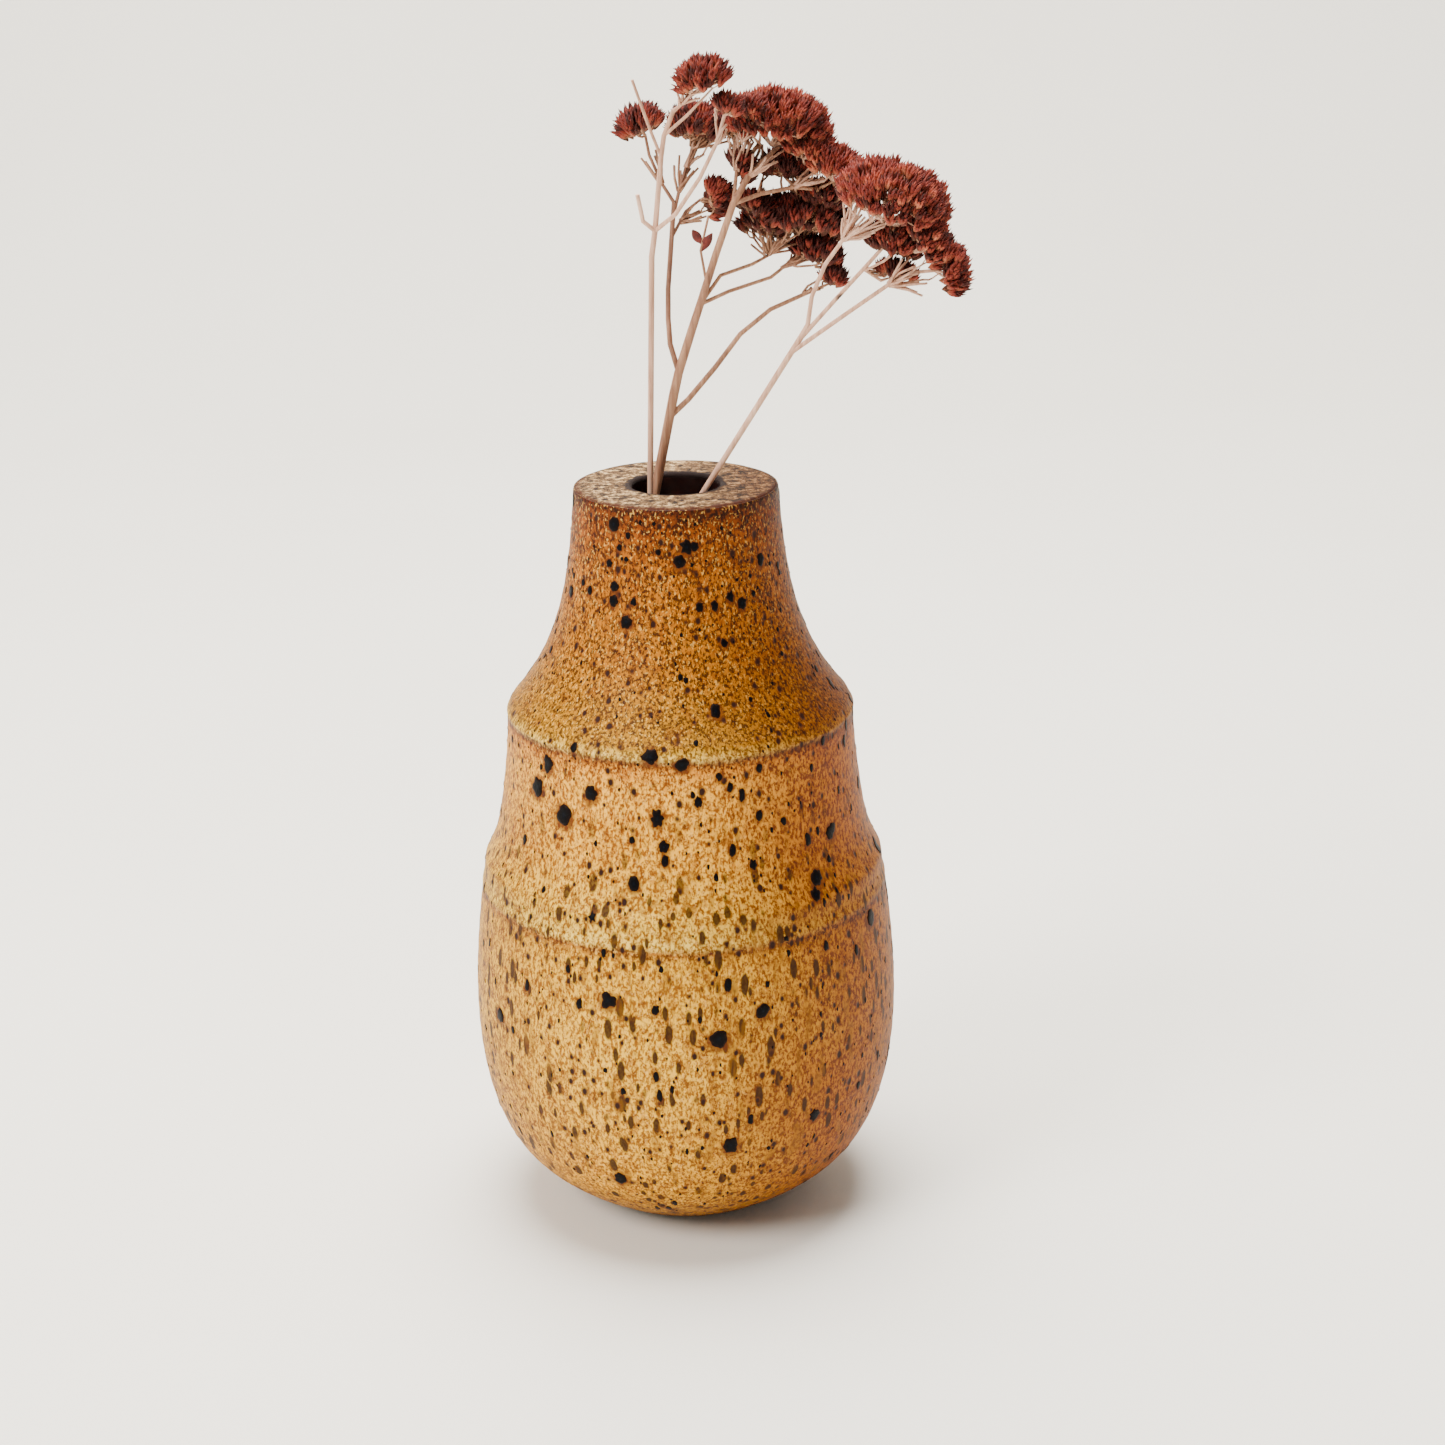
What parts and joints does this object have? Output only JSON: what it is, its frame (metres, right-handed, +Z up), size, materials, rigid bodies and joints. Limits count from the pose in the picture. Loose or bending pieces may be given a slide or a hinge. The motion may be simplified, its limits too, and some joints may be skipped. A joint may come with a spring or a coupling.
{
  "type": "bud vase",
  "caption": "Glazed stoneware bud vase with a round belly, a stepped shoulder and a flat rim plate with a narrow round mouth, holding dried flower stems that slide out.",
  "frame": {"origin": "middle of the flat foot, on the surface the vase stands on", "axes": "+Z up along the vase's turning axis, -Y towards the front, +X to the right"},
  "size_m": [0.1093, 0.0944, 0.2564],
  "materials": {
    "stoneware": "matte",
    "outer_glaze": "satin",
    "liner_glaze": "satin",
    "pale_stalk": "matte",
    "tan_stalk": "matte",
    "dark_stalk": "matte",
    "dried_flower": "matte",
    "dried_leaf": "matte"
  },
  "bodies": {
    "vase": {"clay_belly": "stoneware", "clay_shoulder": "stoneware", "clay_neck": "stoneware", "outer_glaze": "outer_glaze", "liner_glaze": "liner_glaze"},
    "left_stem": {"left_stalk": "pale_stalk", "left_bare_twig": "pale_stalk", "left_side_branch": "pale_stalk", "left_side_head": "dried_flower", "left_snapped_stub": "pale_stalk", "left_top_fork": "pale_stalk", "left_top_head": "dried_flower"},
    "middle_stem": {"middle_stalk": "tan_stalk", "dark_branch": "dark_stalk", "dark_left_head": "dried_flower", "dark_left_twig": "dark_stalk", "dark_low_head": "dried_flower", "dark_low_twig": "dark_stalk", "dark_right_head": "dried_flower", "dark_right_twig": "dark_stalk", "far_branch": "tan_stalk", "far_head": "dried_flower", "far_small_head": "dried_flower", "inner_branch": "tan_stalk", "leaf_twig": "tan_stalk", "lower_branch": "tan_stalk", "middle_left_twig": "tan_stalk", "middle_right_twig": "tan_stalk", "middle_side_head": "dried_flower", "middle_top_head": "dried_flower", "withered_leaves": "dried_leaf"},
    "right_stem": {"right_stalk": "pale_stalk", "right_low_branch": "pale_stalk", "right_middle_branch": "pale_stalk", "right_short_twig": "pale_stalk", "right_side_head": "dried_flower", "right_top_head": "dried_flower", "right_under_head": "dried_flower", "right_upright_branch": "pale_stalk"}
  },
  "joints": [
    {"name": "left_stem_lift", "type": "slide", "parent": "vase", "child": "left_stem", "axis": [0.03, -0.02, 0.9994], "range_m": [0, 0.162]},
    {"name": "middle_stem_lift", "type": "slide", "parent": "vase", "child": "middle_stem", "axis": [0.2055, 0, 0.9787], "range_m": [0, 0.143]},
    {"name": "right_stem_lift", "type": "slide", "parent": "vase", "child": "right_stem", "axis": [0.5354, -0.0169, 0.8444], "range_m": [0, 0.073]}
  ]
}
